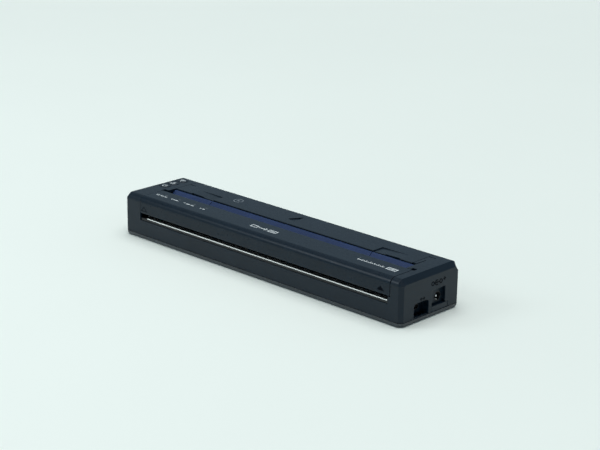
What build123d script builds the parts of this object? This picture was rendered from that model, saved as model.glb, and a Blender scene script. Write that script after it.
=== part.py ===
"""A4 portable thermal printer: a slim bar-shaped body with a hinged release cover over the platen and a
hinged rear cover over the print head and battery.

Frame, in millimetres: X runs along the body (left to right seen from the paper exit), Y from the front face
with the paper exit slot to the back, Z up. The origin is on the floor under the middle of the body.
"""

import math
import os

from build123d import *

# ---------------------------------------------------------------- driving dimensions
# paper path and overall length, along X
paper_width = 210.0
guide_room = 4.0  # the paper guide is this much wider than the paper at each end
cover_room = 5.9  # the release cover is this much longer than the guide at each end
left_block = 16.2  # length of the end block with the keys and the gear train
right_block = 9.0  # length of the end block with the sockets

# body section, along Y and Z
foot_height = 0.3
base_height = 2.8
seam_gap = 0.35
wall = 2.0
floor_wall = 2.0
base_bevel = (1.0, 1.1)  # sloping lower edge of the base tray: inwards and up
base_draft = 0.2  # how far its sides lean in above that
end_chamfer = 3.2  # cut-off top edges at the two ends
front_corner = 2.5  # cut-off vertical corners
back_corner = 0.9
front_round = 4.5
back_round = 3.4
panel_gap = 0.25
cover_gaps = (0.3, 0.55)  # at the release cover's left and right ends
rear_cover_gap = 0.35  # at the rear cover's ends

# paper slots
release_depth = 21.5  # front face to the front edge of the feed slot
feed_slot = 9.3
exit_rise = 2.4  # lower edge of the release cover, above the nip
exit_drop = 2.6  # top edge of the housing's front wall, below the nip
exit_end_room = 1.9  # the exit recess ends this far short of the release cover at the right
tear_bar_drop = 0.1  # top of the tear bar, below the nip
tear_bar_thickness = 0.8

# covers
cover_wall = 2.0
rear_wall = 1.8
rear_top = 2.2
rear_seam = 15.0  # lower edge of the rear cover, above the floor
rear_left_room = 3.3  # rear cover's ends, inwards from the release cover's ends
rear_right_room = 9.2
hinge_pin_radius = 0.6
running_clearance = 0.05
cheek = 1.5

# print mechanism
platen_radius = 5.0
platen_shaft_radius = 2.0
paper_gap = 0.15
head_tilt = 15.0  # degrees, the head's slope along the paper path
nip_lead = 5.0  # the nip lies this far in front of the feed slot
nip_drop = 14.5  # top of the body to the nip
head_room = 8.6  # seat of the head's springs up to the nip
stay_gap = 0.6  # main board to the spring stay
stay_thickness = 1.2
stay_front = 6.5  # the spring stay reaches this far in front of the feed slot
led_from_slot = 6.8  # feed slot forward to the row of indicators
head_width = 8.0
head_thickness = 1.0
bracket_thickness = 3.0
bracket_front = 3.0  # along the paper path, ahead of the nip
bracket_back = 12.5  # and behind it
head_pivot_back = 11.0
guide_slope = 42.0
guide_thickness = 1.4
side_plate = 1.2

# gear train
gear_module = 0.5
platen_teeth = 24
idler_small_teeth = 14
idler_big_teeth = 28
transfer_teeth = 20
pinion_teeth = 12
idler_angle = -42.0  # degrees, direction from the platen to the idler, seen along -X
transfer_angle = 1.0  # from the idler to the transfer gear
pinion_angle = -24.6  # from the transfer gear to the motor's pinion
gear_face = 2.2
motor_radius = 7.5
motor_length = 15.0

# battery
cell_radius = 8.3
cell_count = 3
cell_end_room = 1.0
sleeve_wall = 0.5
sleeve_gap = 0.2
bay_wall = 1.0
bay_end_gap = 0.6
bay_front_gap = 1.4  # back edge of the feed slot to the battery bay
bay_rear_gap = 1.0  # battery bay to the rear cover's back wall

# electronics
board_thickness = 1.6
board_lift = 2.0  # underside of the main board, above the base's inner floor
usb_recess_width = 14.0
usb_recess_height = 9.6
usb_recess_depth = 6.0
usb_recess_round = 2.2
usb_from_front = 12.2  # front face to the near side of the recess
dc_recess_width = 12.9
dc_recess_depth = 2.5
dc_recess_from_slot = 4.85  # back edge of the feed slot to the middle of the power socket's recess
dc_recess_top = 17.8
dc_from_slot = 6.6  # and to the middle of the socket itself
dc_height = 11.4
dc_bore_radius = 3.2
dc_pin_radius = 0.8
latch_width = 15.4
latch_gap = 0.35
latch_height = 3.4
latch_travel = 1.0

# keys
key_length = 8.4
key_width = 6.4
key_pitch = 8.25
key_count = 3
key_proud = 0.25
key_gap = 0.25
key_travel = 0.5

# fasteners
screw_radius = 1.0
screw_head_radius = 2.2
boss_radius = 2.8
front_boss_radius = 2.2
board_screw_radius = 0.8

# ---------------------------------------------------------------- places worked out from them
guide_width = paper_width + 2 * guide_room
cover_length = guide_width + 2 * cover_room
body_length = left_block + cover_length + right_block
sleeve_radius = cell_radius + sleeve_wall
bay_depth = 2 * (sleeve_radius + sleeve_gap + bay_wall)
body_depth = release_depth + feed_slot + bay_front_gap + bay_depth + bay_rear_gap + rear_wall
floor_z = foot_height + floor_wall
board_z = floor_z + board_lift
board_top = board_z + board_thickness
spring_seat = board_top + stay_gap + stay_thickness
body_height = spring_seat + head_room + nip_drop
left_x = -body_length / 2
right_x = body_length / 2
cover_left = left_x + left_block
cover_right = right_x - right_block
path_x = (cover_left + cover_right) / 2
guide_left = path_x - guide_width / 2
guide_right = path_x + guide_width / 2
rear_left = cover_left + rear_left_room
rear_right = cover_right - rear_right_room

front_y = -body_depth / 2
back_y = body_depth / 2
slot_front = front_y + release_depth
slot_back = slot_front + feed_slot

top_z = body_height
seam_z = foot_height + base_height
housing_z = seam_z + seam_gap
ceiling_z = top_z - wall

nip = (slot_front - nip_lead, top_z - nip_drop)
exit_top = nip[1] + exit_rise
exit_bottom = nip[1] - exit_drop
tear_bar_top = nip[1] - tear_bar_drop
release_pivot = (front_y + cover_wall / 2, exit_top + cover_wall / 2)
rear_pivot = (back_y - rear_wall / 2, rear_seam + rear_wall / 2)

tilt = math.radians(head_tilt)
along = (-math.cos(tilt), -math.sin(tilt))  # paper direction at the nip, in (Y, Z)
normal = (-math.sin(tilt), math.cos(tilt))  # from the head towards the platen


def head_point(t, n):
    """Point (Y, Z) that is t along the paper direction from the nip and n above the head's face."""
    return (nip[0] + t * along[0] + n * normal[0], nip[1] + t * along[1] + n * normal[1])


platen_centre = head_point(0, platen_radius + paper_gap)
head_pivot = head_point(-head_pivot_back, -head_thickness - bracket_thickness / 2)

plate_left = guide_left - 3.8  # outer face of the left side plate
plate_right = guide_right + 2.2  # inner face of the right side plate
roller_left = guide_left + 2.0
roller_right = guide_right - 2.0

usb_y = front_y + usb_from_front + usb_recess_width / 2
usb_z = board_top + 1.7
usb_floor = right_x - usb_recess_depth
usb_sides = (usb_y - usb_recess_width / 2, usb_y + usb_recess_width / 2)
usb_top = housing_z + usb_recess_height
usb_shell = (8.94, 3.2, 1.55)  # width, height and corner of the socket's steel shell
usb_mouth = (8.34, 2.56, 1.25)

dc_y = slot_back + dc_from_slot
dc_floor = right_x - dc_recess_depth
dc_recess_y = slot_back + dc_recess_from_slot
dc_sides = (dc_recess_y - dc_recess_width / 2, dc_recess_y + dc_recess_width / 2)
dc_levels = (housing_z + latch_height + latch_gap, dc_recess_top)
latch_sides = (dc_sides[0], dc_sides[0] + latch_width)

key_x = (left_x + cover_left) / 2 + 0.9
key_first_y = slot_front + 8.1


# ---------------------------------------------------------------- small helpers
def block(x, y, z, mode=Mode.ADD):
    """Box between two corners: x, y and z are (low, high) pairs."""
    middle = ((x[0] + x[1]) / 2, (y[0] + y[1]) / 2, (z[0] + z[1]) / 2)
    with Locations(middle):
        Box(x[1] - x[0], y[1] - y[0], z[1] - z[0], mode=mode)


def bar(points, x, radii=0, mode=Mode.ADD):
    """A closed outline of (Y, Z) points, its corners rounded by radii, run along X from x[0] to x[1]."""
    with BuildSketch(Plane.YZ.offset(x[0])) as outline:
        with BuildLine():
            FilletPolyline(*points, radius=radii, close=True)
        make_face()
    extrude(outline.sketch, amount=x[1] - x[0], mode=mode)


def rod(centre, radius, x, mode=Mode.ADD):
    """A round bar along X about the (Y, Z) centre."""
    with BuildSketch(Plane.YZ.offset(x[0])) as disc:
        with Locations(centre):
            Circle(radius)
    extrude(disc.sketch, amount=x[1] - x[0], mode=mode)


def post(centre, radius, z, mode=Mode.ADD):
    """A round bar along Z about the (X, Y) centre."""
    with BuildSketch(Plane.XY.offset(z[0])) as disc:
        with Locations(centre):
            Circle(radius)
    extrude(disc.sketch, amount=z[1] - z[0], mode=mode)


def pill(centre, length, width, corner, z, mode=Mode.ADD):
    """A plate with round corners about the (X, Y) centre, between two heights."""
    with BuildSketch(Plane.XY.offset(z[0])) as face:
        with Locations(centre):
            RectangleRounded(length, width, corner)
    extrude(face.sketch, amount=z[1] - z[0], mode=mode)


def slot_shape(centre, size, grow, x, mode=Mode.ADD):
    """A round-cornered bar along X about the (Y, Z) centre; size is (width, height, corner)."""
    with BuildSketch(Plane.YZ.offset(x[0])) as face:
        with Locations(centre):
            RectangleRounded(size[0] + 2 * grow, size[1] + 2 * grow, size[2] + grow)
    extrude(face.sketch, amount=x[1] - x[0], mode=mode)


def body_outline(inset):
    """The body's outline in plan with its cut-off corners, as points."""
    x = right_x - inset
    y = back_y - inset
    front = front_corner
    back = back_corner
    right = [(x - front, -y), (x, -y + front), (x, y - back), (x - back, y)]
    return right + [(-px, py) for px, py in reversed(right)]


def meshed(centre, teeth, other_teeth, angle):
    """Centre of a gear that meshes with the one at centre, in the direction of the angle in degrees."""
    reach = gear_module * (teeth + other_teeth) / 2
    turn = math.radians(angle)
    return (centre[0] + reach * math.cos(turn), centre[1] + reach * math.sin(turn))


def gear_points(teeth, phase):
    """Outline of a spur gear with involute flanks; one tooth is centred on the phase angle in degrees."""
    pitch = gear_module * teeth / 2
    base = pitch * math.cos(math.radians(20))
    tip = pitch + 0.9 * gear_module
    root = pitch - 1.2 * gear_module
    backlash = 0.12 * gear_module

    def involute(r):
        a = math.acos(min(1.0, base / r))
        return math.tan(a) - a

    half = math.pi / (2 * teeth) - backlash / (2 * pitch) + involute(pitch)
    radii = [max(base, root) + k / 3 * (tip - max(base, root)) for k in range(4)]
    points = []
    for tooth in range(teeth):
        middle = math.radians(phase) + 2 * math.pi * tooth / teeth
        flank = [(r, half - involute(r)) for r in radii]
        rising = [(root, half * 1.02), *flank]
        polar = [(r, -a) for r, a in rising] + [(r, a) for r, a in reversed(rising)]
        points += [(r * math.cos(middle + a), r * math.sin(middle + a)) for r, a in polar]
    return points


def gear(centre, teeth, phase, x, bore=0.0):
    """A spur gear about the (Y, Z) centre between two places along X."""
    with BuildSketch(Plane.YZ.offset(x[0])) as blank:
        with BuildLine():
            Polyline(*[(centre[0] + y, centre[1] + z) for y, z in gear_points(teeth, phase)], close=True)
        make_face()
        if bore:
            with Locations(centre):
                Circle(bore, mode=Mode.SUBTRACT)
    extrude(blank.sketch, amount=x[1] - x[0])


def save(piece, name):
    """Names a finished piece and writes it as parts/name.step."""
    piece.part.label = name
    export_step(piece.part, f"parts/{name}.step")


os.makedirs("parts", exist_ok=True)

# ---------------------------------------------------------------- screws' places
corner_screw_x = right_x - wall - boss_radius + 0.3
corner_screw_y = back_y - 6.6
front_screw_y = front_y + 4.1
screw_places = [(sx * corner_screw_x, sy * corner_screw_y) for sx in (-1, 1) for sy in (-1, 1)]
front_screw_reach = guide_width / 4 - 2.5
screw_places += [(path_x + sx * front_screw_reach, front_screw_y) for sx in (-1, 1)]
pad_radius = boss_radius + 0.4
pad_top = seam_z + seam_gap - 0.1


# ---------------------------------------------------------------- housing
slot_end_gap = 0.3
notch_depth = 2.5
guide_ear = 2.5  # the guide's top edge is this much longer at the left
slot_ends = (guide_left - guide_ear - slot_end_gap, guide_right + slot_end_gap)
groove_width = 0.7
groove_z = (top_z - 0.6, top_z + 1)
groove_y = slot_back + 16.0
left_notch = (cover_left - 0.8, slot_ends[0])
right_notch = (cover_right - 2.3, cover_right + 1.2)
left_catch = (cover_left + 1.7, slot_ends[0] - 0.1)
right_catch = (right_notch[0] + 0.1, cover_right - 0.6)
partition_z = exit_top - 0.6
pin_hole_radius = hinge_pin_radius + running_clearance

with BuildPart() as housing:
    # outer block: rounded long edges, cut-off end edges, hollowed from below
    section = [(front_y, housing_z), (front_y, top_z), (back_y, top_z), (back_y, housing_z)]
    bar(section, (left_x, right_x), [0, front_round, back_round, 0])
    with BuildSketch(Plane.XY.offset(housing_z)):
        with BuildLine():
            Polyline(*body_outline(0), close=True)
        make_face()
    extrude(amount=top_z - housing_z, mode=Mode.INTERSECT)
    for end in (0, -1):
        rim = housing.faces().sort_by(Axis.X)[end].edges()
        rim = rim.filter_by(lambda edge: edge.center().Z > top_z - front_round)
        chamfer(rim, length=end_chamfer)
    block(
        (left_x + wall, right_x - wall),
        (front_y + wall, back_y - wall),
        (housing_z, ceiling_z),
        mode=Mode.SUBTRACT,
    )
    # opening for the release cover, and the exit recess under it
    release_levels = (exit_top - 0.1, top_z + 1)
    block((cover_left, cover_right), (front_y - 1, slot_front), release_levels, mode=Mode.SUBTRACT)
    block(
        (cover_left, cover_right - exit_end_room),
        (front_y - 1, front_y + wall + 1),
        (exit_bottom, exit_top),
        mode=Mode.SUBTRACT,
    )
    # feed slot
    block(slot_ends, (slot_front - 1, slot_back + 1), (ceiling_z - 1, top_z + 1), mode=Mode.SUBTRACT)
    # opening for the rear cover, in the top and the back
    block(
        (rear_left - rear_cover_gap, rear_right + rear_cover_gap),
        (slot_back, back_y + 1),
        (rear_seam - panel_gap, top_z + 1),
        mode=Mode.SUBTRACT,
    )
    # shallow grooves in the top, beside the rear cover's right end
    groove_x = rear_right + 3.0
    groove_run = (slot_back + 0.4, slot_back + 9.4)
    block((groove_x, groove_x + groove_width), groove_run, groove_z, mode=Mode.SUBTRACT)
    block((rear_right, rear_right + 5.8), (groove_y, groove_y + groove_width), groove_z, mode=Mode.SUBTRACT)
    # partitions that close the end blocks beside the release cover, with the hinge pins' holes
    for x in ((cover_left - cheek, cover_left), (cover_right, cover_right + cheek)):
        block(x, (front_y + wall - 0.5, slot_front + 2), (partition_z, ceiling_z + 0.5))
    # finger notches at the slot's two ends
    for notch in (left_notch, right_notch):
        notch_y = (slot_front - 1, slot_front + notch_depth)
        block(notch, notch_y, (ceiling_z - 1, top_z + 1), mode=Mode.SUBTRACT)
    for x in ((cover_left - 3, cover_left), (cover_right, cover_right + 3)):
        rod(release_pivot, pin_hole_radius, x, mode=Mode.SUBTRACT)
    # a round notch lets the platen shaft through the left partition
    shaft_way = platen_shaft_radius + 0.8
    rod(platen_centre, shaft_way, (cover_left - cheek, cover_left), mode=Mode.SUBTRACT)
    block(
        (cover_left - cheek, cover_left),
        (platen_centre[0] - shaft_way, platen_centre[0] + shaft_way),
        (partition_z, platen_centre[1]),
        mode=Mode.SUBTRACT,
    )
    # ledges that the rear cover's ends rest on, and its hinge bosses
    ledge_z = top_z - rear_top - panel_gap
    for edge, way in ((rear_left - rear_cover_gap, 1), (rear_right + rear_cover_gap, -1)):
        ledge = sorted((edge - way * 1.2, edge + way * 1.3))
        block(ledge, (slot_back + 2.2, back_y - wall - 1.5), (ledge_z - 1.0, ledge_z))
        web = sorted((edge, edge - way * 1.2))
        block(web, (slot_back + 2.2, back_y - wall), (ledge_z - 1.0, ceiling_z + 0.5))
        boss = sorted((edge, edge - way * 3.0))
        rod(rear_pivot, pin_hole_radius, boss, mode=Mode.SUBTRACT)
    # catches for the release cover's latches, hung from the top wall
    for x in (left_catch, right_catch):
        catch_y = slot_front + notch_depth + 0.3
        block(x, (catch_y, catch_y + 1.2), (top_z - 7.2, ceiling_z + 0.2))
        block(x, (catch_y - 0.3, catch_y), (top_z - 7.2, top_z - 6.2))
    # key openings
    for k in range(key_count):
        place = (key_x, key_first_y + k * key_pitch)
        pill(
            place,
            key_length + 2 * key_gap,
            key_width + 2 * key_gap,
            key_width / 2 - 0.4,
            (ceiling_z - 1, top_z + 1),
            mode=Mode.SUBTRACT,
        )
    # key board bosses
    key_board_top = top_z - 5.8
    key_bosses = [(left_x + wall + 1.2, slot_front + 2.2), (left_x + wall + 1.2, back_y - wall - 1.2)]
    for place in key_bosses:
        post(place, 1.6, (key_board_top, ceiling_z + 0.5))
    # data socket recess, open at the bottom, with the socket's opening in its inner wall
    usb_walls = (usb_sides[0] - 1.2, usb_sides[1] + 1.2)
    block((usb_floor - 1.2, right_x - wall), usb_walls, (housing_z, usb_top + 1.2))
    usb_outline = [
        (usb_sides[0], housing_z - 1),
        (usb_sides[0], usb_top),
        (usb_sides[1], usb_top),
        (usb_sides[1], housing_z - 1),
    ]
    usb_corners = [0, usb_recess_round, usb_recess_round, 0]
    bar(usb_outline, (usb_floor, right_x + 1), usb_corners, mode=Mode.SUBTRACT)
    slot_shape((usb_y, usb_z), usb_shell, 0.1, (usb_floor - 2, usb_floor + 0.5), mode=Mode.SUBTRACT)
    # power socket recess
    block(
        (dc_floor - 1.2, right_x - wall),
        (dc_sides[0] - 1.2, dc_sides[1] + 1.2),
        (dc_levels[0] + 0.05, dc_levels[1] + 1.2),
    )
    block((dc_floor, right_x + 1), dc_sides, dc_levels, mode=Mode.SUBTRACT)
    rod((dc_y, dc_height), dc_bore_radius + 0.1, (dc_floor - 2, right_x), mode=Mode.SUBTRACT)
    # window for the battery latch
    block(
        (right_x - wall - 1, right_x + 1),
        (latch_sides[0] - latch_gap, latch_sides[1] + latch_gap),
        (housing_z - 1, dc_levels[0]),
        mode=Mode.SUBTRACT,
    )
    # screw bosses: round posts that reach the end walls or the front wall
    for place in screw_places[:4]:
        post(place, boss_radius, (housing_z, top_z - 9.0))
    for place in screw_places[4:]:
        post(place, front_boss_radius, (housing_z, exit_bottom - 1.0))
    for place in screw_places:
        post(place, screw_radius + 0.02, (housing_z, housing_z + 7.0), mode=Mode.SUBTRACT)
save(housing, "main_housing")

# ---------------------------------------------------------------- base tray
door_end_room = 13.7  # right end of the body to the battery cover
door_left = plate_left + side_plate + 14.0
door_right = right_x - door_end_room
door_sides = (slot_back + bay_front_gap + bay_wall, slot_back + bay_front_gap + bay_depth - bay_wall)
door_thickness = floor_wall - 0.2
door_pivot = (door_left + door_thickness / 2, foot_height + 0.1 + door_thickness / 2)
door_gap = 0.2
front_foot_inset = (15.0, 6.5)
rear_foot_inset = (6.9, 13.0)
foot_places = [(sx * (right_x - front_foot_inset[0]), front_y + front_foot_inset[1]) for sx in (-1, 1)]
foot_places += [(sx * (right_x - rear_foot_inset[0]), back_y - rear_foot_inset[1]) for sx in (-1, 1)]
board_screw_places = [
    (x, y)
    for x in (roller_left + 4, path_x - 22, roller_right - 4)
    for y in (front_y + 9.0, slot_front + 4.0)
]
foot_length = 9.0
foot_width = 5.0
foot_pocket = 0.7
panel_recess = 0.25

with BuildPart() as base_tray:
    levels = (foot_height, foot_height + base_bevel[1], seam_z)
    insets = (base_bevel[0], base_draft, 0)
    for lower in (0, 1):
        for level in (lower, lower + 1):
            with BuildSketch(Plane.XY.offset(levels[level])):
                with BuildLine():
                    Polyline(*body_outline(insets[level]), close=True)
                make_face()
        loft()
    # raised step that the housing stands on, set back so that the seam shows as a groove
    with BuildSketch(Plane.XY.offset(seam_z)):
        with BuildLine():
            Polyline(*body_outline(0.9), close=True)
        make_face()
    extrude(amount=seam_gap - 0.02)
    # inside of the tray
    with BuildSketch(Plane.XY.offset(floor_z)):
        with BuildLine():
            Polyline(*body_outline(wall + 0.6), close=True)
        make_face()
    extrude(amount=seam_gap + base_height, mode=Mode.SUBTRACT)
    # pads under the screw bosses
    for place in screw_places:
        post(place, pad_radius, (floor_z - 0.1, pad_top))
    for place in screw_places:
        post(place, screw_head_radius + 0.15, (foot_height - 1, foot_height + 1.3), mode=Mode.SUBTRACT)
        post(place, screw_radius + 0.2, (foot_height, pad_top + 1), mode=Mode.SUBTRACT)
    # battery opening and its hinge holes
    block(
        (door_left - door_gap, door_right + door_gap),
        (door_sides[0] - door_gap, door_sides[1] + door_gap),
        (foot_height - 1, floor_z + 1),
        mode=Mode.SUBTRACT,
    )
    with BuildSketch(Plane.XZ.offset(-door_sides[1] - 1.2)) as hole:
        with Locations(door_pivot):
            Circle(0.5 + running_clearance)
    extrude(hole.sketch, amount=door_sides[1] - door_sides[0] + 2.4, mode=Mode.SUBTRACT)
    # posts for the main board
    for place in board_screw_places:
        post(place, 1.8, (floor_z - 0.1, board_z))
        post(place, board_screw_radius, (floor_z + 0.4, board_z + 1), mode=Mode.SUBTRACT)
    # foot pockets and a shallow plain panel on the underside
    for place in foot_places:
        pocket = (foot_length + 0.2, foot_width + 0.2, foot_width / 2 - 0.1)
        pill(place, *pocket, (0, foot_height + foot_pocket), mode=Mode.SUBTRACT)
    panel = (guide_width / 3, release_depth - 6.5)
    panel_y = (front_y + wall + door_sides[0]) / 2
    pill((path_x, panel_y), *panel, 1.5, (0, foot_height + panel_recess), mode=Mode.SUBTRACT)
save(base_tray, "base_tray")

with BuildPart() as rubber_feet:
    for place in foot_places:
        pill(place, foot_length, foot_width, foot_width / 2 - 0.2, (0, foot_height + foot_pocket))
save(rubber_feet, "rubber_feet")

with BuildPart() as case_screws:
    for place in screw_places:
        post(place, screw_head_radius, (foot_height + 0.3, foot_height + 1.3))
        post(place, screw_radius, (foot_height + 1.3, housing_z + 6.5))
    for place in screw_places:
        for turn in (0, 90):
            with Locations(Location((*place, foot_height + 0.3), (0, 0, turn))):
                Box(2.4, 0.5, 1.0, mode=Mode.SUBTRACT)
save(case_screws, "case_screws")

# ---------------------------------------------------------------- release cover
cover_x = (cover_left + cover_gaps[0], cover_right - cover_gaps[1])
lip_x = (guide_left - slot_end_gap, guide_right + slot_end_gap)
cover_back = slot_front - 0.1
cheek_base = platen_centre[1] + platen_radius + 0.5
led_places = [guide_left + 5.5, guide_left + 19.0, guide_left + 33.9, guide_left + 45.8]
led_y = slot_front - led_from_slot
led_window = (2.4, 1.2)

cover_outline = [
    (front_y, exit_top),
    (front_y, top_z),
    (cover_back, top_z),
    (cover_back, ceiling_z),
    (front_y + cover_wall, ceiling_z),
    (front_y + cover_wall, exit_top),
]
edge_round = cover_wall / 2 - 0.01
cover_corners = [edge_round, front_round, 0.7, 0.3, front_round - cover_wall, edge_round]
cheek_outline = [
    (front_y + cover_wall / 2, exit_top + cover_wall / 2),
    (front_y + cover_wall / 2, top_z - front_round),
    (front_y + front_round, top_z - cover_wall / 2),
    (slot_front - 4.0, top_z - cover_wall / 2),
    (slot_front - 4.0, cheek_base),
    (platen_centre[0] - platen_radius, cheek_base),
    (front_y + cover_wall + 0.8, exit_top + cover_wall / 2),
]
lip_outline = [
    (cover_back, top_z - 1.0),
    (cover_back - 2.1, top_z - 4.1),
    (cover_back - 3.0, top_z - 3.6),
    (cover_back - 2.2, ceiling_z + 0.4),
    (cover_back - 0.8, ceiling_z + 0.6),
]

with BuildPart() as release_cover:
    bar(cover_outline, cover_x, cover_corners)
    bar(lip_outline, lip_x)
    for x in ((cover_x[0], cover_x[0] + cheek), (cover_x[1] - cheek, cover_x[1])):
        bar(cheek_outline, x)
    for x in ((cover_x[0], cover_x[0] + 3.0), (cover_x[1] - 3.0, cover_x[1])):
        rod(release_pivot, hinge_pin_radius, x, mode=Mode.SUBTRACT)
    for x in led_places:
        window = (led_window[0] + 0.1, led_window[1] + 0.1, 0.5)
        pill((x, led_y), *window, (ceiling_z - 1, top_z + 1), mode=Mode.SUBTRACT)
    # stiffening ribs across the underside, right of the indicators
    for k in range(4):
        rib = led_places[-1] + 12.0 + 40.0 * k
        rib_y = (front_y + cover_wall, slot_front - 3.0)
        block((rib - 0.5, rib + 0.5), rib_y, (ceiling_z - 1.0, ceiling_z + 0.2))
save(release_cover, "release_cover")

with BuildPart() as release_pins:
    rod(release_pivot, hinge_pin_radius, (cover_left - 2.6, cover_x[0] + 3.0))
    rod(release_pivot, hinge_pin_radius, (cover_x[1] - 3.0, cover_right + 2.6))
save(release_pins, "release_hinge_pins")

with BuildPart() as light_guides:
    for x in led_places:
        pill((x, led_y), led_window[0], led_window[1], 0.45, (ceiling_z - 0.3, top_z + 0.02))
save(light_guides, "indicator_light_guides")

led_board_z = ceiling_z - 1.5
with BuildPart() as led_board:
    led_board_x = (led_places[0] - 4, led_places[-1] + 4)
    block(led_board_x, (led_y - 3.2, led_y + 3.2), (led_board_z, led_board_z + 0.6))
    for x in (led_places[0] - 2.6, led_places[-1] + 2.6):
        post((x, led_y - 1.8), 0.9, (led_board_z + 0.6, ceiling_z))
save(led_board, "indicator_board")

with BuildPart() as leds:
    for x in led_places:
        block((x - 0.8, x + 0.8), (led_y - 0.4, led_y + 0.4), (led_board_z + 0.6, led_board_z + 1.15))
save(leds, "indicator_leds")


# latches at the two ends of the release cover's rear edge
def latch(x):
    """Finger pad under the cover, with a hooked leg that reaches down behind the catch."""
    pad_z = (ceiling_z - 1.6, ceiling_z - 0.05)
    leg_z = top_z - 8.4
    reach = slot_front + notch_depth - 0.6
    block(x, (slot_front - 2.0, reach), pad_z)
    block(x, (reach - 1.2, reach), (leg_z, pad_z[1]))
    block(x, (reach, reach + 0.45), (leg_z, leg_z + 1.0))
    for k in range(3):
        groove = slot_front + 0.3 + 0.55 * k
        grip_x = (x[0] + 0.4, x[1] - 0.4)
        block(grip_x, (groove, groove + 0.25), (pad_z[1] - 0.2, pad_z[1]), mode=Mode.SUBTRACT)


latch_left_x = (left_catch[0] + 0.2, left_catch[0] + 3.4)
latch_right_x = (right_catch[0] + 0.1, right_catch[1] - 0.2)
with BuildPart() as latch_left:
    latch(latch_left_x)
save(latch_left, "release_latch_left")

with BuildPart() as latch_right:
    latch(latch_right_x)
save(latch_right, "release_latch_right")

# ---------------------------------------------------------------- rear cover
rear_x = (rear_left, rear_right)
rear_front = slot_back + 0.2
guide_end = 35.4  # length of the paper guide's end segments
recess_length = 22.6
recess_width = 9.3
recess_drop = 0.6  # depth of a finger recess at its deep end
recess_starts = [(guide_right - guide_end, 1), (guide_left + guide_end, -1)]
clip_slot = (9.8, 21.8)  # slot at a recess's front edge, from the recess's deep end
clip_slot_width = 1.0
rear_outline = [
    (back_y, rear_seam),
    (back_y, top_z),
    (rear_front, top_z),
    (rear_front, top_z - rear_top),
    (back_y - rear_wall, top_z - rear_top),
    (back_y - rear_wall, rear_seam),
]
rear_corners = [rear_wall / 2 - 0.01, back_round, 0.35, 0.2, back_round - rear_wall, rear_wall / 2 - 0.01]

with BuildPart() as rear_cover:
    bar(rear_outline, rear_x, rear_corners)
    for x in ((rear_x[0], rear_x[0] + 3.0), (rear_x[1] - 3.0, rear_x[1])):
        rod(rear_pivot, hinge_pin_radius, x, mode=Mode.SUBTRACT)
    # finger recesses beside the guide's end segments, each sloping up to nothing, with a slot at its front
    for start, way in recess_starts:
        end = start + way * recess_length
        ramp = [(start, top_z - recess_drop), (end, top_z), (end, top_z + 1), (start, top_z + 1)]
        with BuildSketch(Plane.XZ.offset(-rear_front - recess_width)) as wedge:
            with BuildLine():
                Polyline(*ramp, close=True)
            make_face()
        extrude(wedge.sketch, amount=recess_width + 1, mode=Mode.SUBTRACT)
        slot_x = sorted((start + way * clip_slot[0], start + way * clip_slot[1]))
        slot_y = (rear_front - 1, rear_front + clip_slot_width)
        block(slot_x, slot_y, (top_z - rear_top - 1, top_z + 1), mode=Mode.SUBTRACT)
    # groove beside the left end
    left_groove = (groove_y - 2.6, groove_y - 2.6 + groove_width)
    block((rear_left - 1, rear_left + 5.6), left_groove, groove_z, mode=Mode.SUBTRACT)
    # engraved arrow that marks the middle of the feed slot
    tip = (path_x - 0.6, rear_front + 5.6)
    with BuildSketch(Plane.XY.offset(groove_z[0])):
        with BuildLine():
            Polyline(tip, (tip[0] - 2.6, tip[1] + 11.4), (tip[0] - 8.6, tip[1] + 2.1), close=True)
        make_face()
    extrude(amount=1, mode=Mode.SUBTRACT)
save(rear_cover, "rear_cover")

with BuildPart() as rear_pins:
    rod(rear_pivot, hinge_pin_radius, (rear_left - 2.8, rear_left + 3.0))
    rod(rear_pivot, hinge_pin_radius, (rear_right - 3.0, rear_right + 2.8))
save(rear_pins, "rear_hinge_pins")

# ---------------------------------------------------------------- paper guide, in three segments
slope = math.tan(math.radians(guide_slope))
guide_top = (slot_back - 0.2, top_z - 0.85)
guide_crest = (guide_top[0] - 0.9, guide_top[1])
guide_low_y = platen_centre[0] + platen_radius + 0.9
guide_low = (guide_low_y, guide_crest[1] - (guide_crest[0] - guide_low_y) * slope)
under = guide_thickness / math.cos(math.radians(guide_slope))
guide_foot = platen_centre[1] + 1.4
guide_web = guide_top[0] - 1.8
guide_outline = [
    guide_top,
    guide_crest,
    guide_low,
    (guide_low[0] + 0.5, guide_low[1] - under + 0.45),
    (guide_web, guide_crest[1] - (guide_crest[0] - guide_web) * slope - under),
    (guide_web, guide_foot),
    (guide_top[0], guide_foot),
]
guide_corners = [0.15, 0.25, 0.3, 0.2, 0.3, 0, 0]
joint_left = guide_left + guide_end
joint_right = guide_right - guide_end
segments = {
    "paper_guide_left": (guide_left, joint_left - 0.2),
    "paper_guide_centre": (joint_left + 0.2, joint_right - 0.2),
    "paper_guide_right": (joint_right + 0.2, guide_right),
}
ear_front = guide_top[0] - 4.4
ear_front_z = guide_crest[1] - (guide_crest[0] - ear_front) * slope
ear_outline = [
    guide_top,
    guide_crest,
    (ear_front, ear_front_z),
    (ear_front, ear_front_z - 1.2),
    (guide_top[0], guide_top[1] - 3.0),
]
for name, x in segments.items():
    with BuildPart() as segment:
        bar(guide_outline, x, guide_corners)
        if name == "paper_guide_left":
            bar(ear_outline, (guide_left - guide_ear, guide_left + 1.0), [0.15, 0.25, 0.2, 0.2, 0.2])
    save(segment, name)

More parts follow.
